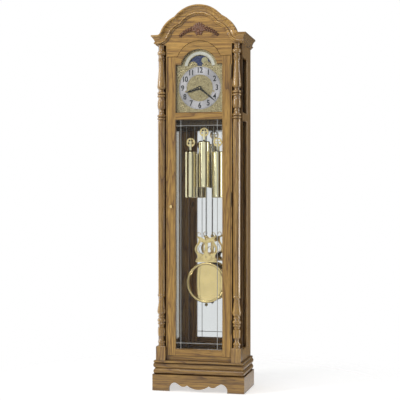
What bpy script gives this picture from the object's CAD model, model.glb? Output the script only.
import math
import random

import bmesh
import bpy
from mathutils import Matrix, Vector


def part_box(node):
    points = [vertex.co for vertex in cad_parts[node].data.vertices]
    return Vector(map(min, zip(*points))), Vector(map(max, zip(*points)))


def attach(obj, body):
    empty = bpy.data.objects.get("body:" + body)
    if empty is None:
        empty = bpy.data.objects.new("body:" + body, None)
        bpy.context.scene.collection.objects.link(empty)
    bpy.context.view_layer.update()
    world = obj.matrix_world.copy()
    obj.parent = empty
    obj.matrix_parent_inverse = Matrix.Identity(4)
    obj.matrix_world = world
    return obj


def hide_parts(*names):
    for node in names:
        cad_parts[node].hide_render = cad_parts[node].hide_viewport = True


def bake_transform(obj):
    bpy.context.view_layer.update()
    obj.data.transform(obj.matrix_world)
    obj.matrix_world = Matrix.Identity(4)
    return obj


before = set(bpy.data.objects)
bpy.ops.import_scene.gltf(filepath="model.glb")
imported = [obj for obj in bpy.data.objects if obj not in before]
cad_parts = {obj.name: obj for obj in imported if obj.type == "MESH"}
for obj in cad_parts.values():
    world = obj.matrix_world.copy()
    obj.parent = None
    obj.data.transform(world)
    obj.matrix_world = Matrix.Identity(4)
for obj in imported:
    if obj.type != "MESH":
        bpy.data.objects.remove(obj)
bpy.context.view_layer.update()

# A weight-driven longcase clock in oak. Metres, +Z up, door towards -Y.


def box_of(node):
    """The low and high corners of a node's box."""
    return tuple(Vector(corner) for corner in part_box(node))


def middle(node):
    """The middle of a node's box."""
    low, high = box_of(node)
    return (low + high) / 2


# ----------------------------------------------------------------------- node helpers

class Shader:
    """A small builder for one node material."""

    def __init__(self, name):
        self.material = bpy.data.materials.new(name)
        self.material.use_nodes = True
        self.tree = self.material.node_tree
        self.tree.nodes.clear()
        self.output = self.tree.nodes.new("ShaderNodeOutputMaterial")

    def node(self, kind, inputs=None, **settings):
        """A node with its settings, and each input either linked or set."""
        made = self.tree.nodes.new("ShaderNode" + kind)
        for name, value in settings.items():
            setattr(made, name, value)
        for name, value in (inputs or {}).items():
            if isinstance(value, bpy.types.NodeSocket):
                self.tree.links.new(value, made.inputs[name])
            else:
                made.inputs[name].default_value = value
        return made

    def place(self):
        """Object coordinates: the clock's own frame, in metres."""
        return self.node("TexCoord").outputs["Object"]

    def stretched(self, vector, scale, shift=(0, 0, 0)):
        """The vector scaled on each axis, then shifted."""
        made = self.node("Mapping", {"Vector": vector})
        made.inputs["Scale"].default_value = scale
        made.inputs["Location"].default_value = shift
        return made.outputs["Vector"]

    def noise(self, vector, scale, detail=4.0, roughness=0.55, distortion=0.0):
        """A noise value between 0 and 1."""
        inputs = {
            "Vector": vector, "Scale": scale, "Detail": detail,
            "Roughness": roughness, "Distortion": distortion,
        }
        return self.node("TexNoise", inputs).outputs["Fac"]

    def math(self, operation, first, second=0.0):
        """One sum on two numbers or outputs."""
        made = self.node("Math", operation=operation)
        for socket, value in zip(made.inputs, (first, second)):
            if isinstance(value, bpy.types.NodeSocket):
                self.tree.links.new(value, socket)
            else:
                socket.default_value = value
        return made.outputs[0]

    def ramp(self, fac, stops):
        """A colour ramp. Stops are (position, (r, g, b))."""
        made = self.node("ValToRGB", {"Fac": fac})
        ramp = made.color_ramp
        while len(ramp.elements) < len(stops):
            ramp.elements.new(0.5)
        for element, (position, colour) in zip(ramp.elements, stops):
            element.position = position
            element.color = (*colour, 1.0)
        return made.outputs["Color"]

    def mix(self, fac, first, second, blend="MIX"):
        """The second colour over the first, by the factor."""
        made = self.node("Mix", data_type="RGBA", blend_type=blend)
        for name, value in (("Factor", fac), ("A", first), ("B", second)):
            socket = next(entry for entry in made.inputs if entry.name == name and entry.enabled)
            if isinstance(value, bpy.types.NodeSocket):
                self.tree.links.new(value, socket)
            else:
                socket.default_value = value if name == "Factor" else (*value, 1.0)
        return next(socket for socket in made.outputs if socket.enabled)

    def bump(self, height, strength, distance):
        """A normal from a height, for relief too fine to model."""
        inputs = {"Height": height, "Strength": strength, "Distance": distance}
        return self.node("Bump", inputs).outputs["Normal"]

    def surface(self, inputs):
        """A principled shader on the material's output."""
        made = self.node("BsdfPrincipled", inputs)
        self.tree.links.new(made.outputs["BSDF"], self.output.inputs["Surface"])
        return self.material


# -------------------------------------------------------------------------- materials

AXES = "XYZ"
WHITE = (1.0, 1.0, 1.0)
SIDE_LINING_X = abs(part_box("side_frame_left")[1][0]) + 0.0006  # a side is dark inside this X
LINING_COLOUR = (0.085, 0.050, 0.024)
FIGURE_GRAIN = (1.0, 0.07)  # scale across the grain, scale along it
FIBRE_GRAIN = (420.0, 16.0)
STREAK_GRAIN = (70.0, 1.6)
OAK_FIGURE = (
    (0.0, (0.22, 0.110, 0.026)), (0.14, (0.42, 0.232, 0.054)),
    (0.40, (0.57, 0.340, 0.081)), (0.62, (0.66, 0.410, 0.106)))


def oak(name, along, shift, tone=1.0, gloss=0.36, lined=False, rails=0.0, coat=0.4):
    """Lacquered oak: cathedral figure, open pores, slow colour drift and stain in the recesses.

    The grain runs along one axis. Rails is the half width inside which it runs across instead,
    or 0. Lined oak is dark on the clock's inner side.
    """
    shade = Shader(name)
    place = shade.place()
    parts = shade.node("SeparateXYZ", {"Vector": place}).outputs
    across = shade.math("LESS_THAN", shade.math("ABSOLUTE", parts["X"]), rails)

    def grained(scales):
        """The surface's place, drawn out along the grain."""
        fine, coarse = scales

        def drawn(way):
            return shade.stretched(place, [coarse if axis == way else fine for axis in AXES], shift)

        lengthwise = drawn(along)
        if not rails:
            return lengthwise
        made = shade.node("Mix", data_type="VECTOR")
        sockets = [socket for socket in made.inputs if socket.enabled]
        for socket, value in zip(sockets, (across, lengthwise, drawn("X"))):
            shade.tree.links.new(value, socket)
        return next(socket for socket in made.outputs if socket.enabled)

    grain = grained(FIGURE_GRAIN)
    drift = shade.noise(grain, 10.0, 2.0, 0.5, 0.4)
    rings = shade.math("PINGPONG", shade.math("FRACT", shade.math("MULTIPLY", drift, 17.0)), 0.62)
    figure = shade.ramp(rings, [
        (position, tuple(part * tone for part in colour)) for position, colour in OAK_FIGURE])
    fibre = shade.noise(grained(FIBRE_GRAIN), 1.0, 3.0, 0.6)
    pores = shade.ramp(fibre, [(0.36, (0.30, 0.25, 0.18)), (0.50, WHITE)])
    toned = shade.mix(0.80, figure, pores, "MULTIPLY")
    streak = shade.noise(grained(STREAK_GRAIN), 1.0, 2.0, 0.6)
    bands = shade.ramp(streak, [(0.36, (0.62, 0.56, 0.46)), (0.62, (1.12, 1.10, 1.06))])
    toned = shade.mix(0.50, toned, bands, "MULTIPLY")
    broad = shade.noise(grain, 3.0, 1.0)
    cast = shade.ramp(broad, [(0.3, (0.84, 0.77, 0.68)), (0.7, (1.12, 1.08, 1.0))])
    colour = shade.mix(0.8, toned, cast, "MULTIPLY")
    recess = shade.node("AmbientOcclusion", {"Distance": 0.03}, samples=6).outputs["AO"]
    stain = shade.ramp(recess, [(0.34, (0.24, 0.18, 0.14)), (0.90, WHITE)])
    colour = shade.mix(1.0, colour, stain, "MULTIPLY")
    if lined:
        inner = shade.math("LESS_THAN", shade.math("ABSOLUTE", parts["X"]), SIDE_LINING_X)
        colour = shade.mix(inner, colour, LINING_COLOUR)
    rough = shade.math("ADD", shade.math("MULTIPLY", fibre, 0.16), gloss - 0.08)
    return shade.surface({
        "Base Color": colour, "Roughness": rough,
        "Normal": shade.bump(fibre, 0.18, 0.0006),
        "Coat Weight": coat, "Coat Roughness": 0.08,
    })


def dark_wood(name):
    """Stained carving: dark red-brown with lighter rubbed high spots."""
    shade = Shader(name)
    place = shade.place()
    mottle = shade.noise(place, 90.0, 4.0)
    worn = shade.node("NewGeometry").outputs["Pointiness"]
    edge = shade.ramp(worn, [(0.46, (0.0, 0.0, 0.0)), (0.56, WHITE)])
    deep = shade.ramp(mottle, [(0.3, (0.050, 0.018, 0.010)), (0.7, (0.120, 0.045, 0.024))])
    colour = shade.mix(edge, deep, (0.27, 0.125, 0.065))
    return shade.surface({
        "Base Color": colour, "Roughness": shade.math("ADD", shade.math("MULTIPLY", mottle, 0.2), 0.28),
        "Normal": shade.bump(mottle, 0.2, 0.0008), "Coat Weight": 0.2, "Coat Roughness": 0.25,
    })


def brass(name, colour, gloss=0.10, brushed=0.0):
    """Brass with slow tarnish drift and, where wanted, fine brush marks."""
    shade = Shader(name)
    place = shade.place()
    drift = shade.noise(place, 14.0, 3.0)
    warm = tuple(part * 0.86 for part in colour)
    tint = shade.ramp(drift, [(0.3, warm), (0.7, colour)])
    lines = shade.noise(place, 300.0, 3.0)
    rough = shade.math("ADD", shade.math("MULTIPLY", lines, 0.08 + brushed * 0.2), gloss - 0.03)
    return shade.surface({
        "Base Color": tint, "Metallic": 1.0, "Roughness": rough,
        "Normal": shade.bump(lines, 0.02 + brushed * 0.15, 0.0003),
    })


def metal(name, colour, gloss=0.3, spun=False):
    """Plain metal with fine marks; spun metal spreads its highlights into fans."""
    shade = Shader(name)
    place = shade.place()
    lines = shade.noise(place, 260.0, 3.0)
    dark = tuple(part * 0.8 for part in colour)
    inputs = {
        "Base Color": shade.ramp(lines, [(0.3, dark), (0.7, colour)]), "Metallic": 1.0,
        "Roughness": shade.math("ADD", shade.math("MULTIPLY", lines, 0.15), gloss - 0.07),
        "Normal": shade.bump(lines, 0.06, 0.0003),
    }
    if spun:
        inputs["Anisotropic"] = 0.9
        inputs["Anisotropic Rotation"] = 0.25
        inputs["Tangent"] = shade.node("Tangent", direction_type="RADIAL", axis="Y").outputs[0]
    return shade.surface(inputs)


def engraved(name, deep, high):
    """Brass plate with a fine matted ground, dark in its recesses."""
    shade = Shader(name)
    place = shade.place()
    matted = shade.noise(place, 620.0, 4.0, 0.7)
    swirls = shade.noise(place, 110.0, 3.0, 0.6, 2.6)
    height = shade.math("MULTIPLY", shade.math("ADD", matted, swirls), 0.5)
    return shade.surface({
        "Base Color": shade.ramp(height, [(0.42, deep), (0.56, high)]), "Metallic": 1.0,
        "Roughness": shade.math("ADD", shade.math("MULTIPLY", matted, 0.2), 0.26),
        "Normal": shade.bump(height, 0.5, 0.0006),
    })


def clear_glass(name, tint=(0.97, 0.985, 0.98), shine=0.4):
    """Thin float glass: light passes straight through, and the surface reflects."""
    shade = Shader(name)
    ripple = shade.noise(shade.place(), 6.0, 1.0)
    normal = shade.bump(ripple, 0.05, 0.001)
    through = shade.node("BsdfTransparent", {"Color": (*tint, 1.0)})
    gloss = shade.node("BsdfGlossy", {"Roughness": 0.02, "Normal": normal})
    edge = shade.node("Fresnel", {"IOR": 1.45, "Normal": normal})
    both = shade.node("MixShader", {"Fac": shade.math("MULTIPLY", edge.outputs[0], shine)})
    shade.tree.links.new(through.outputs[0], both.inputs[1])
    shade.tree.links.new(gloss.outputs[0], both.inputs[2])
    shade.tree.links.new(both.outputs[0], shade.output.inputs["Surface"])
    return shade.material


def mirror_glass(name):
    """Silvered glass with a slight haze."""
    shade = Shader(name)
    haze = shade.noise(shade.place(), 4.0, 2.0)
    return shade.surface({
        "Base Color": shade.ramp(haze, [(0.3, (0.88, 0.86, 0.88)), (0.7, (0.92, 0.90, 0.92))]),
        "Metallic": 1.0, "Roughness": shade.math("MULTIPLY", haze, 0.03),
    })


def painted(name, colour, gloss=0.35, vary=0.2):
    """Paint, lacquer or plastic, a little uneven in tone."""
    shade = Shader(name)
    place = shade.place()
    grain = shade.noise(place, 180.0, 3.0)
    dark = tuple(part * (1 - vary) for part in colour)
    return shade.surface({
        "Base Color": shade.ramp(grain, [(0.3, dark), (0.7, colour)]),
        "Roughness": shade.math("ADD", shade.math("MULTIPLY", grain, 0.15), gloss - 0.07),
        "Normal": shade.bump(grain, 0.05, 0.0003),
    })


OAK_UPRIGHT = oak("oak_upright", "Z", (0.3, 0.1, 0.0), tone=0.80, rails=0.1675)
OAK_SIDE = oak("oak_side", "Z", (0.8, 0.1, 0.7), tone=0.80, lined=True)
OAK_DOOR = oak("oak_door", "Z", (1.7, 0.4, 0.6), tone=0.85, rails=0.1222)
OAK_COLUMN = oak("oak_column", "Z", (2.9, 1.2, 0.2), tone=0.80, gloss=0.26, coat=0.8)
OAK_ACROSS = oak("oak_across", "X", (0.2, 0.7, 0.5))
OAK_PEDIMENT = oak("oak_pediment", "X", (0.1, 1.4, 2.2), tone=0.98)
OAK_CROWN = oak("oak_crown", "X", (0.9, 0.3, 0.9), tone=0.94, gloss=0.26, coat=0.8)
OAK_BASE = oak("oak_base", "X", (0.5, 0.2, 3.1), tone=0.66)
OAK_INSIDE = oak("oak_inside", "Z", (1.1, 2.0, 0.4), tone=0.20, gloss=0.6, coat=0.1)
CARVING = dark_wood("stained_carving")
BRASS = brass("polished_brass", (0.86, 0.67, 0.33), 0.10)
BOB = brass("bob_brass", (0.88, 0.68, 0.33), 0.10)
BRASS_TUBE = brass("weight_brass", (0.93, 0.83, 0.55), 0.14)
BRASS_DIAL = engraved("dial_brass", (0.16, 0.12, 0.06), (0.60, 0.50, 0.30))
GILT = brass("gilt_relief", (0.66, 0.54, 0.32), 0.22, 0.3)
BRASS_WORKS = brass("movement_brass", (0.62, 0.50, 0.26), 0.28, 0.6)
HINGE = brass("aged_brass", (0.30, 0.22, 0.11), 0.40, 0.4)
ENGRAVED = brass("engraved_relief", (0.50, 0.41, 0.24), 0.26, 0.5)
SILVER = metal("silvered", (0.60, 0.56, 0.59), 0.40, spun=True)
SCALE = metal("silvered_scale", (0.70, 0.67, 0.60), 0.40)
BEVEL = painted("bevel_line", (0.40, 0.40, 0.38), 0.22)
STEEL = metal("steel", (0.55, 0.55, 0.56), 0.28)
CABLE = metal("cable_wire", (0.62, 0.60, 0.54), 0.34)
IRON = painted("dark_iron", (0.05, 0.05, 0.055), 0.5)
BLACK = painted("black_hands_paint", (0.012, 0.012, 0.014), 0.32)
BLUE = painted("moon_sky", (0.050, 0.070, 0.20), 0.3)
MOON = painted("moon_face", (0.80, 0.72, 0.42), 0.4, 0.35)
NYLON = painted("glide_nylon", (0.08, 0.075, 0.07), 0.5)
GLASS = clear_glass("pane_glass")
SIDE_GLASS = clear_glass("side_pane_glass", (0.80, 0.80, 0.77), 0.30)
MIRROR = mirror_glass("mirror_back")

NODE_MATERIALS = {
    OAK_BASE: ("base_apron", "base_moulding", "base_board"),
    OAK_UPRIGHT: ("front_frame",),
    OAK_SIDE: ("side_frame_left", "side_frame_right"),
    OAK_COLUMN: ("column_left", "column_right"),
    OAK_PEDIMENT: ("pediment_board",),
    OAK_CROWN: ("crown_moulding",),
    OAK_ACROSS: ("top_board",),
    OAK_DOOR: ("door_frame",),
    OAK_INSIDE: ("back_panel", "seat_board"),
    CARVING: ("pediment_carving",),
    BEVEL: ("door_came",),
    HINGE: ("hinge_case_leaves", "hinge_door_leaves", "rating_nut"),
    BRASS: (
        "door_escutcheon", "door_key", "pendulum_lyre", "pulley_left", "pulley_centre", "pulley_right"),
    BOB: ("pendulum_bob",),
    BRASS_TUBE: ("weight_left", "weight_centre", "weight_right"),
    BRASS_DIAL: ("dial_plate", "dial_spandrels", "moon_cover"),
    BRASS_WORKS: (
        "movement_frame", "cannon_pinion", "minute_wheel", "hour_wheel", "centre_wheel", "third_wheel",
        "escape_wheel", "great_wheel", "drum_left", "drum_centre", "drum_right", "chime_hammers"),
    SILVER: ("chapter_ring",),
    STEEL: ("pallet_anchor", "suspension_post", "suspension_spring", "cables_left", "cables_centre",
            "cables_right", "pendulum_rod"),
    IRON: ("chime_rods",),
    BLACK: ("hour_hand", "minute_hand"),
    BLUE: ("moon_disc",),
    NYLON: ("floor_glides",),
    GLASS: ("door_panes",),
    SIDE_GLASS: ("side_panes",),
    MIRROR: ("back_mirror",),
}
for material, nodes in NODE_MATERIALS.items():
    for node in nodes:
        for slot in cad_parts[node].material_slots:
            slot.material = material


# ------------------------------------------------------------------------- mesh helpers

BACKWARD = Vector((0, 1, 0))
FULL_TURN = 2 * math.pi


def piece(name, build, material, body, smooth=True, replaced=()):
    """Turns a bmesh into a visible piece that rides on a body."""
    bmesh.ops.recalc_face_normals(build, faces=build.faces)
    mesh = bpy.data.meshes.new(name)
    build.to_mesh(mesh)
    build.free()
    for polygon in mesh.polygons:
        polygon.use_smooth = smooth
    mesh.materials.append(material)
    made = bpy.data.objects.new(name, mesh)
    bpy.context.collection.objects.link(made)
    if body:
        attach(made, body)
    if replaced:
        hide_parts(*replaced)
    return made


def bridge(build, first, second):
    """Joins two closed rings of vertices with a row of faces."""
    for step in range(len(first)):
        after = (step + 1) % len(first)
        build.faces.new((first[step], first[after], second[after], second[step]))


def loft(build, rings):
    """Joins each ring to the next."""
    for first, second in zip(rings, rings[1:]):
        bridge(build, first, second)


def loft_capped(build, rings):
    """Joins each ring to the next and closes both ends."""
    loft(build, rings)
    build.faces.new(rings[0])
    build.faces.new(rings[-1])


def sweep(build, points, radii, sides=8):
    """A round bar along points, no stretch of which may run along Y."""
    points = [Vector(point) for point in points]
    if not hasattr(radii, "__len__"):
        radii = [radii] * len(points)
    rings = []
    for number, point in enumerate(points):
        ahead = points[min(number + 1, len(points) - 1)]
        back = points[max(number - 1, 0)]
        tangent = (ahead - back).normalized()
        side = tangent.cross(BACKWARD).normalized()
        over = side.cross(tangent)
        ring = []
        for step in range(sides):
            turn = FULL_TURN * step / sides
            offset = (side * math.cos(turn) + over * math.sin(turn)) * radii[number]
            ring.append(build.verts.new(point + offset))
        rings.append(ring)
    loft_capped(build, rings)


def ball(build, centre, radii, sides=12):
    """A ball, or with three radii an ellipsoid."""
    if not hasattr(radii, "__len__"):
        radii = (radii,) * 3
    shape = Matrix.Translation(Vector(centre)) @ Matrix.Diagonal((*radii, 1.0))
    bmesh.ops.create_uvsphere(
        build, u_segments=sides, v_segments=sides // 2, radius=1.0, matrix=shape)


def flourish(start, heading, length, bend, curl, steps=26):
    """Points (x, z) of a scroll: its turning grows steadily along its length."""
    x, z = start
    points = [(x, z)]
    stride = length / steps
    for number in range(steps):
        heading += (bend + curl * (number + 0.5) / steps) / steps
        x += stride * math.cos(heading)
        z += stride * math.sin(heading)
        points.append((x, z))
    return points


def scroll(build, line, plane, thick, thin, bead=1.5):
    """A tapering bar along (x, z) points in the plane Y = plane, ending in a bead."""
    count = len(line) - 1
    radii = [thick + (thin - thick) * number / count for number in range(count + 1)]
    sweep(build, [(x, plane, z) for x, z in line], radii, sides=6)
    ball(build, (line[-1][0], plane, line[-1][1]), thin * bead, sides=8)


def mirrored(line):
    """The points on the other side of X = 0."""
    return [(-x, z) for x, z in line]


def turned(line, centre, angle):
    """The points turned clockwise about a centre."""
    cosine, sine = math.cos(angle), math.sin(angle)
    spun = []
    for x, z in line:
        across, up = x - centre[0], z - centre[1]
        spun.append((
            centre[0] + across * cosine + up * sine, centre[1] - across * sine + up * cosine))
    return spun


def scroll_line(start, degrees, length, bend, curl):
    """A flourish whose first heading is in degrees."""
    return flourish(start, math.radians(degrees), length, bend, curl)


def plate(build, ring, front, thick):
    """A flat closed outline of (x, z) points, thick from its front face backwards."""
    faces = []
    for y in (front, front + thick):
        faces.append([build.verts.new((x, y, z)) for x, z in ring])
    loft_capped(build, faces)


def band(build, centre, inner, outer, front, thick, start=0.0, end=FULL_TURN, steps=96):
    """A flat ring, or part of one, facing -Y."""
    whole = end - start > FULL_TURN - 1e-6
    rows = []
    for number in range(steps + (0 if whole else 1)):
        turn = start + (end - start) * number / steps
        back = front + thick
        row = []
        for radius, y in ((inner, front), (outer, front), (outer, back), (inner, back)):
            row.append(build.verts.new((
                centre[0] + radius * math.cos(turn), y, centre[1] + radius * math.sin(turn))))
        rows.append(row)
    if whole:
        loft(build, rows)
        bridge(build, rows[-1], rows[0])
    else:
        loft_capped(build, rows)


def leaf(build, start, heading, length, width, height, plane, bend=0.0, lobes=3, tip=1.0):
    """A carved leaf on the plane Y = plane: a midrib groove, lobed sides and a lifted back.

    Tip scales the width at its end, so above 1 the leaf opens towards it.
    """
    along, across = 14, 8
    x, z = start
    rows = []
    for number in range(along + 1):
        u = number / along
        angle = heading + bend * u
        swell = math.sin(math.pi * min(1.0, 0.06 + 0.94 * u)) ** 0.6 * (1 - (1 - tip) * u)
        wave = math.cos(FULL_TURN * lobes * u)
        half = width / 2 * max(swell, 0.1) * (1 + 0.2 * wave)
        lift = height * (0.35 + 0.65 * math.sin(math.pi * u)) * (0.85 + 0.15 * wave)
        row = []
        for part in range(across + 1):
            v = 2 * part / across - 1
            rise = lift * (1 - v * v) ** 0.5 * (1 - 0.45 * math.exp(-(v / 0.22) ** 2))
            row.append(build.verts.new((
                x - math.sin(angle) * half * v, plane - rise, z + math.cos(angle) * half * v)))
        rows.append(row)
        x += length / along * math.cos(angle)
        z += length / along * math.sin(angle)
    for first, second in zip(rows, rows[1:]):
        for part in range(across):
            build.faces.new((first[part], first[part + 1], second[part + 1], second[part]))
    bottom = [row[0] for row in rows] + [row[-1] for row in reversed(rows)]
    build.faces.new(rows[0])
    build.faces.new(rows[-1])
    build.faces.new(bottom)


# ------------------------------------------------------------------ carving on the crown

SHELL_HEART_HEIGHT = 0.040  # above the carving's lowest edge
SHELL_LEAVES_EACH_SIDE = 4
SHELL_LEAF_TURN = 19.0  # degrees from one leaf of the shell to the next
SHELL_ROOT = 0.006
SPRAY_STEPS = 6


def carving():
    """A shell of fanned leaves, with a leafy spray running out to each side."""
    low, high = box_of("pediment_carving")
    plane = high.y
    deep = plane - low.y
    build = bmesh.new()
    heart = low.z + SHELL_HEART_HEIGHT
    for number in range(-SHELL_LEAVES_EACH_SIDE, SHELL_LEAVES_EACH_SIDE + 1):
        turn = math.radians(90 + number * SHELL_LEAF_TURN)
        reach = 0.042 - 0.0022 * abs(number)
        leaf(build, (SHELL_ROOT * math.cos(turn), heart + SHELL_ROOT * math.sin(turn)), turn,
             reach, 0.0125, deep * 0.92, plane, lobes=1, tip=1.35)
    ball(build, (0, plane - 0.002, heart), (0.0085, 0.0062, 0.0075))
    for side in (-1, 1):
        for turn, reach in ((-20, 0.020), (-58, 0.021)):
            angle = math.radians(turn if side > 0 else 180 - turn)
            leaf(build, (side * 0.003, heart - 0.003), angle, reach, 0.010, deep * 0.6, plane)
        path = flourish((side * 0.030, heart + 0.014), math.radians(-8 if side > 0 else 188),
                        0.086, -0.55 * side, -0.15 * side, steps=SPRAY_STEPS)
        for number, (x, z) in enumerate(path[:-1]):
            ahead = path[number + 1]
            heading = math.atan2(ahead[1] - z, ahead[0] - x)
            size = 1.0 - 0.065 * number
            for lean in (0.95, -0.95):
                leaf(build, (x, z), heading + lean, 0.0190 * size, 0.0082 * size, deep * 0.80,
                     plane, bend=-0.6 * lean)
            leaf(build, (x, z), heading, 0.0185 * size, 0.0062 * size, deep * 0.80, plane)
            ball(build, (x, plane - 0.0040, z), (0.0044 * size, 0.0042, 0.0044 * size), sides=10)
    ball(build, (0, plane - 0.002, heart - 0.012), (0.0045, 0.0045, 0.0055), sides=8)
    for vertex in build.verts:
        vertex.co.x = max(low.x + 0.001, min(high.x - 0.001, vertex.co.x))
        vertex.co.y = max(low.y, min(plane, vertex.co.y))
        vertex.co.z = max(low.z, min(high.z, vertex.co.z))
    piece("carved_shell_and_leaves", build, CARVING, "case",
          replaced=("pediment_carving",))


carving()


# --------------------------------------------------------------------------------- dial

DIAL = middle("chapter_ring")
DIAL_CENTRE = (DIAL.x, DIAL.z)
RING_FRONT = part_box("chapter_ring")[0].y
PLATE_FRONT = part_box("chapter_ring")[1].y
PRINT = 0.0002  # how thick printed marks are
NUMERAL_RADIUS = 0.0905
NUMERAL_SIZE = 0.0395
NUMERAL_WIDTH = 0.86  # share of the font's own width
NUMERAL_BOLDNESS = 0.0010
HOUR_TURN = math.radians(30)
MINUTE_TURN = math.radians(6)
TRACK_INNER = (0.1052, 0.1056)  # the inner and outer radius of each printed circle
TRACK_OUTER = (0.1084, 0.1088)
HOUR_CIRCLE = (0.0715, 0.0719)
LOWER_HOLE_DROP = 0.042  # from the dial's centre to the lower winding hole


def numerals():
    """Upright numbers one to twelve on the ring."""
    build = bmesh.new()
    for hour in range(1, 13):
        text = bpy.data.curves.new("numeral", "FONT")
        text.body = str(hour)
        text.size = NUMERAL_SIZE
        text.offset = NUMERAL_BOLDNESS
        text.resolution_u = 4
        text.extrude = PRINT / 2
        text.align_x = "CENTER"
        text.align_y = "CENTER"
        text.space_character = 0.92
        holder = bpy.data.objects.new("numeral", text)
        bpy.context.collection.objects.link(holder)
        bpy.context.view_layer.update()
        mesh = bpy.data.meshes.new_from_object(holder)
        turn = HOUR_TURN * hour
        place = Vector((
            DIAL.x + NUMERAL_RADIUS * math.sin(turn), RING_FRONT - PRINT / 2,
            DIAL.z + NUMERAL_RADIUS * math.cos(turn)))
        stand = Matrix.Translation(place) @ Matrix.Rotation(math.radians(90), 4, "X")
        mesh.transform(stand @ Matrix.Diagonal((NUMERAL_WIDTH, 1.0, 1.0, 1.0)))
        build.from_mesh(mesh)
        bpy.data.objects.remove(holder)
        bpy.data.meshes.remove(mesh)
        bpy.data.curves.remove(text)
    bmesh.ops.remove_doubles(build, verts=build.verts, dist=1e-6)
    piece("dial_numerals", build, BLACK, "case", smooth=False)


def tick(centre, half, inner, outer):
    """The outline of an upright mark between two radii above a centre."""
    x, z = centre
    return [(x - half, z + inner), (x + half, z + inner), (x + half, z + outer), (x - half, z + outer)]


def minute_track():
    """Printed circles round the numerals, with a mark for each minute."""
    build = bmesh.new()
    for inner, outer in (TRACK_INNER, TRACK_OUTER, HOUR_CIRCLE):
        band(build, DIAL_CENTRE, inner, outer, RING_FRONT - PRINT, PRINT, steps=180)
    for minute in range(60):
        half = 0.0009 if minute % 5 == 0 else 0.0003
        mark = tick(DIAL_CENTRE, half, TRACK_INNER[1], TRACK_OUTER[0])
        plate(build, turned(mark, DIAL_CENTRE, MINUTE_TURN * minute), RING_FRONT - PRINT, PRINT)
    piece("dial_minute_track", build, BLACK, "case", smooth=False)


ENGRAVING_INNER = 0.0135
ENGRAVING_OUTER = 0.0672
HOLE_MARGIN = 0.0065
ENGRAVED_LINES = (  # start (x, z), heading in degrees, length, bend, curl
    ((0.0, 0.016), 62, 0.040, -0.2, 6.4), ((0.0, 0.030), 48, 0.034, 0.4, 6.8),
    ((0.002, 0.044), 80, 0.026, -0.6, -5.6), ((0.010, 0.050), 20, 0.020, 0.8, 5.0))


def dial_engraving():
    """Raised scrollwork on the dial's middle, kept clear of the lower winding hole."""
    build = bmesh.new()
    plane = PLATE_FRONT - 0.0001
    for number in range(8):
        spin = math.radians(45 * number + 22.5)
        for side in (-1, 1):
            for row in ENGRAVED_LINES:
                line = scroll_line(*row)
                if side < 0:
                    line = mirrored(line)
                line = [(DIAL.x + x, DIAL.z + z) for x, z in line]
                line = turned(line, DIAL_CENTRE, spin)
                clear = min(math.hypot(x - DIAL.x, z - DIAL.z + LOWER_HOLE_DROP) for x, z in line)
                far = max(math.hypot(x - DIAL.x, z - DIAL.z) for x, z in line)
                if clear > HOLE_MARGIN and far < ENGRAVING_OUTER:
                    scroll(build, line, plane, 0.0009, 0.0004)
    for radius in (ENGRAVING_INNER, ENGRAVING_OUTER):
        band(build, DIAL_CENTRE, radius, radius + 0.0009, PLATE_FRONT - 0.0007, 0.0007)
    piece("dial_engraving", build, ENGRAVED, "case")


SPREAD_FROM = 0.084  # the corner pattern is stretched outside this distance from the centre
SPREAD_TO = 0.108
SPREAD_MARGIN = 0.002
SPANDREL_LINES = (  # start (x, z), heading in degrees, length, bend, curl, thickness
    ((0.084, 0.084), 18, 0.040, -1.1, -5.2, 0.0013), ((0.086, 0.086), 40, 0.026, 0.8, 5.4, 0.0011),
    ((0.092, 0.074), -30, 0.032, 1.0, 4.6, 0.0011), ((0.102, 0.056), -70, 0.024, 0.9, 5.2, 0.0009),
    ((0.099, 0.095), 20, 0.016, 1.2, 5.0, 0.0010))


def spandrel_scrolls():
    """Leaf scrolls in the four corners."""
    low, high = box_of("dial_spandrels")
    plane = low.y - 0.0001

    def spread(value, limit):
        """Stretches the pattern's outer part to the ornament's real edge."""
        share = (min(value, SPREAD_TO) - SPREAD_FROM) / (SPREAD_TO - SPREAD_FROM)
        return value if share < 0 else SPREAD_FROM + share * (limit - SPREAD_FROM - SPREAD_MARGIN)

    build = bmesh.new()
    for x_side in (-1, 1):
        for z_side in (-1, 1):
            wide = high.x - DIAL.x
            tall = high.z - DIAL.z if z_side > 0 else DIAL.z - low.z
            for swap in (False, True):
                for *row, thick in SPANDREL_LINES:
                    line = scroll_line(*row)
                    if swap:
                        line = [(z, x) for x, z in line]
                    line = [(spread(x, wide), spread(z, tall)) for x, z in line]
                    line = [(DIAL.x + x_side * x, DIAL.z + z_side * z) for x, z in line]
                    scroll(build, line, plane, thick, 0.0005)
            boss = (DIAL.x + x_side * 0.089, plane, DIAL.z + z_side * 0.089)
            ball(build, boss, (0.0042, 0.0018, 0.0042))
    piece("dial_corner_scrolls", build, GILT, "case")


MOON_SCALE_INNER = 0.0645
MOON_SCALE_OUTER = 0.0800
MOON_TICK_ROOT = 0.0655
MOON_DAYS = 30
GLOBE_OFFSET = 0.036  # from the dial's centre line to the centre of each half globe
MOON_ORBIT = 0.0425
MOON_RADIUS = 0.0170
STARS = 46
STAR_CLEARANCE = 0.0195  # from the centre of either moon
MOON_CENTRE = (0.0250, 0.0344)


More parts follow.
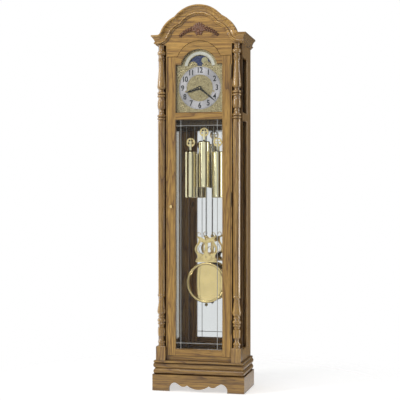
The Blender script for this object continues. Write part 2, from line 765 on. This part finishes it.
def moon_work():
    """The arched lunar scale, the two half globes, and the moons and stars on the disc."""
    low, high = box_of("moon_cover")
    disc_low, disc_high = box_of("moon_disc")
    arch = (DIAL.x, (disc_low.z + disc_high.z) / 2)
    build = bmesh.new()
    band(build, arch, MOON_SCALE_INNER, MOON_SCALE_OUTER, low.y - 0.0003, 0.0003,
         start=math.radians(6), end=math.radians(174), steps=72)
    piece("moon_scale", build, SCALE, "case", smooth=False)
    build = bmesh.new()
    for day in range(MOON_DAYS):
        turn = math.radians(-84 + 168 * day / (MOON_DAYS - 1))
        reach = 0.0060 if day % 5 == 0 else 0.0035
        half = 0.00055 if day % 5 == 0 else 0.00035
        mark = tick(arch, half, MOON_TICK_ROOT, MOON_TICK_ROOT + reach)
        plate(build, turned(mark, arch, turn), low.y - 0.0005, 0.0002)
    piece("moon_scale_marks", build, BLACK, "case", smooth=False)
    build = bmesh.new()
    foot = low.z
    for side in (-1, 1):
        centre = (DIAL.x + side * GLOBE_OFFSET, foot)
        front = high.y - 0.0018
        for radius in (0.0225, 0.0150, 0.0075):
            band(build, centre, radius - 0.0007, radius, front, 0.0006, start=math.radians(2),
                 end=math.radians(178), steps=40)
        for turn in (-60, -30, 0, 30, 60):
            line = [(centre[0], centre[1] + 0.001), (centre[0], centre[1] + 0.0222)]
            line = turned(line, centre, math.radians(turn))
            scroll(build, line, front, 0.0006, 0.0006, bead=1.0)
        for row in (((0.004, 0.004), 60, 0.018, -0.6, -4.0), ((-0.004, 0.005), 110, 0.017, 0.8, 4.4)):
            line = scroll_line(*row)
            scroll(build, [(centre[0] + x, centre[1] + z) for x, z in line], front, 0.0013, 0.0006)
    piece("moon_globes", build, GILT, "case")
    build = bmesh.new()
    moon_front = disc_low.y
    turn = math.radians(36)
    for side in (1, -1):
        across = side * MOON_ORBIT * math.sin(turn)
        up = side * MOON_ORBIT * math.cos(turn)
        ball(build, (arch[0] + across, moon_front, arch[1] + up),
             (MOON_RADIUS, 0.0006, MOON_RADIUS), sides=40)
    piece("painted_moons", build, MOON, "moon_disc")
    build = bmesh.new()
    draw = random.Random(7)
    placed = 0
    while placed < STARS:
        reach = draw.uniform(0.008, 0.058)
        turn = draw.uniform(0, FULL_TURN)
        x, z = reach * math.sin(turn), reach * math.cos(turn)
        near = min(math.hypot(x - side * MOON_CENTRE[0], z - side * MOON_CENTRE[1]) for side in (-1, 1))
        if near > STAR_CLEARANCE:
            size = draw.uniform(0.0007, 0.0013)
            star = []
            for point in range(10):
                radius = size if point % 2 == 0 else size * 0.42
                angle = math.pi * point / 5
                star.append((
                    arch[0] + x + radius * math.sin(angle), arch[1] + z + radius * math.cos(angle)))
            plate(build, star, moon_front - 0.0002, 0.0002)
            placed += 1
    piece("painted_stars", build, GILT, "moon_disc", smooth=False)


def ribbon(build, points, widths, front, thick):
    """A flat strip of changing width along (x, z) points."""
    left, right = [], []
    for number, (x, z) in enumerate(points):
        ahead = points[min(number + 1, len(points) - 1)]
        back = points[max(number - 1, 0)]
        heading = math.atan2(ahead[1] - back[1], ahead[0] - back[0])
        half = widths[number] / 2
        left.append((x - math.sin(heading) * half, z + math.cos(heading) * half))
        right.append((x + math.sin(heading) * half, z - math.cos(heading) * half))
    rows = []
    for near, far in zip(left, right):
        rows.append([build.verts.new((x, y, z)) for (x, z), y in (
            (near, front), (far, front), (far, front + thick), (near, front + thick))])
    loft_capped(build, rows)


HAND_ROOT = 0.005  # where the two strands leave the arbor
HAND_STEPS = 48
POINT_STEPS = 16
HOUR_ANGLE = math.radians(251.6)
MINUTE_ANGLE = math.radians(130.2)


def serpentine_hand(node, body, reach, loops, swing, woven, clockwise, boss, bold):
    """A hand of two strands that cross and part, then one tapering point."""
    low, high = box_of(node)
    front, thick = low.y, high.y - low.y
    build = bmesh.new()
    for side in (-1, 1):
        line, widths = [], []
        for number in range(HAND_STEPS + 1):
            share = number / HAND_STEPS
            wave = abs(math.sin(math.pi * loops * share)) ** 0.8
            along = HAND_ROOT + (woven - HAND_ROOT) * share
            line.append((DIAL.x + side * swing * wave * (1 - 0.25 * share), DIAL.z + along))
            widths.append(bold * (1 - 0.3 * share))
        ribbon(build, turned(line, DIAL_CENTRE, clockwise), widths, front, thick)
    line, widths = [], []
    for number in range(POINT_STEPS + 1):
        share = number / POINT_STEPS
        line.append((DIAL.x, DIAL.z + woven - 0.002 + (reach - woven + 0.002) * share))
        widths.append(1.6 * bold * (1 - share ** 1.6) + 0.0010)
    widths[1] = widths[2] = 2.0 * bold
    ribbon(build, turned(line, DIAL_CENTRE, clockwise), widths, front, thick)
    band(build, DIAL_CENTRE, boss * 0.5, boss, front, thick, steps=48)
    piece(node + "_blade", build, BLACK, body, smooth=False, replaced=(node,))


numerals()
minute_track()
dial_engraving()
spandrel_scrolls()
moon_work()
serpentine_hand("hour_hand", "hour_hand", 0.073, 3, 0.0058, 0.054, HOUR_ANGLE, 0.0100, 0.0056)
serpentine_hand("minute_hand", "minute_hand", 0.107, 4, 0.0034, 0.064, MINUTE_ANGLE, 0.0080, 0.0046)


# ----------------------------------------------------------------------------- pendulum

LYRE_LINES = (  # start (x, z), heading in degrees, length, bend, curl, thickness
    ((0.034, 0.125), 30, 0.056, 0.4, 7.4, 0.0026), ((0.014, 0.040), 10, 0.064, 1.5, 1.5, 0.0024),
    ((0.050, 0.050), 80, 0.060, 0.5, 1.0, 0.0024), ((0.006, 0.006), 10, 0.050, 0.5, 4.6, 0.0026),
    ((0.004, 0.060), 84, 0.036, -0.4, -5.6, 0.0018), ((0.040, 0.020), -10, 0.022, -0.6, -5.0, 0.0020),
    ((0.036, 0.112), 200, 0.034, -0.6, 1.9, 0.0020), ((0.018, 0.020), 40, 0.030, -1.0, -5.4, 0.0018))
LYRE_MARGIN = 0.003


def lyre_scrolls():
    """Cast scrolls, leaves and beads on the face of the lyre."""
    low, high = box_of("pendulum_lyre")
    centre = (low.x + high.x) / 2
    plate_front = (low.y + high.y) / 2 - 0.004
    build = bmesh.new()
    foot = low.z
    for side in (-1, 1):
        for *row, thick in LYRE_LINES:
            line = [(centre + side * x, foot + z) for x, z in scroll_line(*row)]
            line = [(max(low.x + LYRE_MARGIN, min(high.x - LYRE_MARGIN, x)), max(foot + LYRE_MARGIN, z))
                    for x, z in line]
            scroll(build, line, plate_front, thick, 0.0012, bead=2.0)
        ball(build, (centre + side * 0.055, plate_front, foot + 0.008), 0.0042)
        ball(build, (centre + side * 0.052, plate_front + 0.002, foot + 0.044), 0.0036)
    for height, radius in ((0.122, 0.0070), (0.106, 0.0038), (0.028, 0.0060), (0.012, 0.0040)):
        ball(build, (centre, plate_front + 0.001, foot + height), (radius, radius * 0.5, radius))
    piece("lyre_scrollwork", build, BRASS, "pendulum")


BOB_FACE_RADIUS = 0.0938
BOB_FACE_RISE = 0.0125  # rises are towards the front, from the plane that the lens is drawn on
BOB_FACE_DROP = 0.0098
BOB_FACE_STEPS = 30
BOB_REAR_RADIUS = 0.0950
BOB_REAR_SINK = -0.0080
BOB_REAR_RISE = 0.0050
BOB_REAR_STEPS = 12
BOB_RIM = (  # radius and rise, from the face's edge round to the rear
    (0.0946, 0.0022), (0.0953, 0.0024), (0.0966, 0.0038), (0.0980, 0.0049), (0.1000, 0.0055),
    (0.1030, 0.0055), (0.1052, 0.0048), (0.1066, 0.0034), (0.1070, 0.0016), (0.1070, -0.0012),
    (0.1064, -0.0028), (0.1048, -0.0040), (0.1020, -0.0045), (0.0975, -0.0045), (0.0958, -0.0038))
BOB_SIDES = 128


def bob():
    """The spun lens: a domed face sunk a little inside its rolled rim."""
    low, high = box_of("pendulum_bob")
    centre = (low + high) / 2
    plane = high.y + BOB_REAR_SINK
    shares = [number / BOB_FACE_STEPS for number in range(1, BOB_FACE_STEPS + 1)]
    face = [(BOB_FACE_RADIUS * share, BOB_FACE_RISE - BOB_FACE_DROP * share ** 2) for share in shares]
    shares = [number / BOB_REAR_STEPS for number in range(BOB_REAR_STEPS, 0, -1)]
    rear = [(BOB_REAR_RADIUS * share, BOB_REAR_SINK + BOB_REAR_RISE * share ** 2) for share in shares]
    build = bmesh.new()
    rings = []
    for radius, rise in (*face, *BOB_RIM, *rear):
        ring = []
        for step in range(BOB_SIDES):
            turn = FULL_TURN * step / BOB_SIDES
            ring.append(build.verts.new((
                centre.x + radius * math.cos(turn), plane - rise, centre.z + radius * math.sin(turn))))
        rings.append(ring)
    loft(build, rings)
    for ring, rise in ((rings[0], BOB_FACE_RISE), (rings[-1], BOB_REAR_SINK)):
        peak = build.verts.new((centre.x, plane - rise, centre.z))
        for step in range(BOB_SIDES):
            build.faces.new((ring[step], ring[(step + 1) % BOB_SIDES], peak))
    piece("bob_lens", build, BOB, "pendulum", replaced=("pendulum_bob",))


lyre_scrolls()
bob()


# ------------------------------------------------------------------------------- cables

CABLE_RADIUS = 0.00075
WRAP_RADIUS = 0.02225  # of the cable's centre line on pulleys and drums
CABLE_RUNS = 40
PULLEY_STEPS = 24
WINDING_STEPS = 24
WINDING_TURNS = 22
WINDING_PITCH = 0.0016
WINDING_START = 0.026  # in front of the pulley's middle
CABLE_END_ABOVE_SEAT = 0.004  # inside the knot
KNOT_RADII = (0.0044, 0.0044, 0.0036)


def cable(side):
    """Cable from the drum round the pulley to its knot on the seat board, and its winding."""
    pulley = middle("pulley_" + side)
    drum = middle("drum_" + side)
    seat_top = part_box("seat_board")[1].z
    wrap = WRAP_RADIUS if side != "right" else -WRAP_RADIUS
    cable_end = seat_top + CABLE_END_ABOVE_SEAT
    line = []
    for number in range(CABLE_RUNS + 1):
        share = number / CABLE_RUNS
        line.append((pulley.x + wrap, pulley.y, drum.z + (pulley.z - drum.z) * share))
    for number in range(1, PULLEY_STEPS):
        turn = math.pi * number / PULLEY_STEPS
        line.append((
            pulley.x + wrap * math.cos(turn), pulley.y, pulley.z - WRAP_RADIUS * math.sin(turn)))
    for number in range(CABLE_RUNS + 1):
        share = number / CABLE_RUNS
        line.append((pulley.x - wrap, pulley.y, pulley.z + (cable_end - pulley.z) * share))
    build = bmesh.new()
    sweep(build, line, CABLE_RADIUS, sides=8)
    ball(build, (pulley.x - wrap, pulley.y, seat_top + KNOT_RADII[2]), KNOT_RADII)
    made = piece("cable_" + side, build, CABLE, None, replaced=("cables_" + side,))
    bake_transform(made)
    build = bmesh.new()
    first = pulley.y - WINDING_START
    coil = []
    for number in range(WINDING_TURNS * WINDING_STEPS + 1):
        turn = FULL_TURN * number / WINDING_STEPS
        coil.append((
            drum.x + WRAP_RADIUS * math.cos(turn), first + WINDING_PITCH * number / WINDING_STEPS,
            drum.z + WRAP_RADIUS * math.sin(turn)))
    sweep(build, coil, CABLE_RADIUS, sides=6)
    piece("drum_winding_" + side, build, CABLE, "drum_" + side)


for which in ("left", "centre", "right"):
    cable(which)


# ----------------------------------------------------------------- camera and lighting

CAMERA_TURN = math.radians(13.24)
CAMERA_AT = (1.2036, -5.2035, 0.9821)
CAMERA_LENS = 91.93

camera_data = bpy.data.cameras.new("camera")
camera_data.lens = CAMERA_LENS
camera_data.sensor_width = 36.0
camera = bpy.data.objects.new("camera", camera_data)
camera.location = CAMERA_AT
camera.rotation_euler = (math.radians(90), 0, CAMERA_TURN)
bpy.context.collection.objects.link(camera)
bpy.context.scene.camera = camera


def area_light(name, place, aim, size, power, colour=(1, 1, 1)):
    """A rectangular lamp at a place, turned towards an aim."""
    data = bpy.data.lights.new(name, "AREA")
    data.shape = "RECTANGLE"
    data.size, data.size_y = size
    data.energy = power
    data.color = colour
    lamp = bpy.data.objects.new(name, data)
    lamp.location = place
    lamp.rotation_euler = (Vector(aim) - Vector(place)).to_track_quat("-Z", "Y").to_euler()
    bpy.context.collection.objects.link(lamp)


area_light("key", (-2.9, -2.5, 2.5), (0, 0, 1.2), (0.7, 2.4), 66, (1.0, 0.97, 0.92))
area_light("fill", (3.0, 0.1, 1.4), (0, 0, 1.0), (0.35, 2.8), 26, (1.0, 0.98, 0.95))
area_light("over", (-0.6, -2.4, 3.8), (0, 0, 1.4), (1.4, 1.0), 26)


def studio_world():
    """White to the eye; softer light from the front and brighter panels at the sides."""
    world = bpy.data.worlds.new("studio")
    bpy.context.scene.world = world
    world.use_nodes = True
    tree = world.node_tree
    tree.nodes.clear()

    def add(kind, **settings):
        made = tree.nodes.new("ShaderNode" + kind)
        for name, value in settings.items():
            setattr(made, name, value)
        return made

    direction = add("TexCoord")
    split = add("SeparateXYZ")
    tree.links.new(direction.outputs["Generated"], split.inputs[0])
    ahead = add("Math", operation="MULTIPLY")
    ahead.inputs[1].default_value = -1.0
    tree.links.new(split.outputs["Y"], ahead.inputs[0])
    azimuth = add("Math", operation="ARCTAN2")
    tree.links.new(split.outputs["X"], azimuth.inputs[0])
    tree.links.new(ahead.outputs[0], azimuth.inputs[1])
    share = add("Math", operation="MULTIPLY_ADD")
    share.inputs[1].default_value = 0.5 / math.pi
    share.inputs[2].default_value = 0.5
    tree.links.new(azimuth.outputs[0], share.inputs[0])

    def panorama(stops):
        """A background whose brightness goes by direction: 0.25 left, 0.5 front, 0.75 right."""
        ramp = add("ValToRGB")
        while len(ramp.color_ramp.elements) < len(stops):
            ramp.color_ramp.elements.new(0.5)
        for element, (position, level) in zip(ramp.color_ramp.elements, stops):
            element.position = position
            element.color = (level, level, level, 1.0)
        tree.links.new(share.outputs[0], ramp.inputs[0])
        made = add("Background")
        tree.links.new(ramp.outputs[0], made.inputs["Color"])
        return made

    soft = panorama((
        (0.0, 0.25), (0.22, 0.45), (0.34, 0.62), (0.46, 0.40), (0.58, 0.20), (0.75, 0.16),
        (1.0, 0.25)))
    panels = panorama((
        (0.0, 0.10), (0.12, 0.30), (0.17, 2.6), (0.24, 2.4), (0.29, 0.35), (0.34, 0.42), (0.39, 0.90),
        (0.56, 0.90), (0.61, 0.28), (0.68, 0.20), (0.72, 2.2), (0.79, 2.0), (0.84, 0.15), (1.0, 0.10)))
    white = add("Background")
    white.inputs["Color"].default_value = (1.0, 1.0, 1.0, 1.0)
    ray = add("LightPath")
    mixed = add("MixShader")
    tree.links.new(ray.outputs["Is Glossy Ray"], mixed.inputs[0])
    tree.links.new(soft.outputs[0], mixed.inputs[1])
    tree.links.new(panels.outputs[0], mixed.inputs[2])
    mix = add("MixShader")
    tree.links.new(ray.outputs["Is Camera Ray"], mix.inputs[0])
    tree.links.new(mixed.outputs[0], mix.inputs[1])
    tree.links.new(white.outputs[0], mix.inputs[2])
    output = add("OutputWorld")
    tree.links.new(mix.outputs[0], output.inputs["Surface"])


studio_world()
bpy.context.scene.view_settings.view_transform = "Standard"


def floor():
    """A pale round floor that thins out to nothing away from the clock."""
    mesh = bpy.data.meshes.new("floor")
    build = bmesh.new()
    bmesh.ops.create_circle(build, cap_ends=True, radius=1.6, segments=96)
    build.to_mesh(mesh)
    build.free()
    ground = bpy.data.objects.new("floor", mesh)
    bpy.context.collection.objects.link(ground)
    shade = Shader("floor_paint")
    place = shade.place()
    grain = shade.noise(place, 3.0, 2.0)
    away = shade.node("VectorMath", {0: place}, operation="LENGTH").outputs["Value"]
    solid = shade.node("MapRange", {
        "Value": away, "From Min": 0.30, "From Max": 1.3, "To Min": 0.85, "To Max": 0.0})
    mesh.materials.append(shade.surface({
        "Base Color": shade.ramp(grain, [(0.3, (0.93, 0.93, 0.93)), (0.7, (0.95, 0.95, 0.95))]),
        "Roughness": 0.8, "Alpha": solid.outputs["Result"],
        "Emission Color": (1.0, 1.0, 1.0, 1.0), "Emission Strength": 0.5,
    }))


floor()
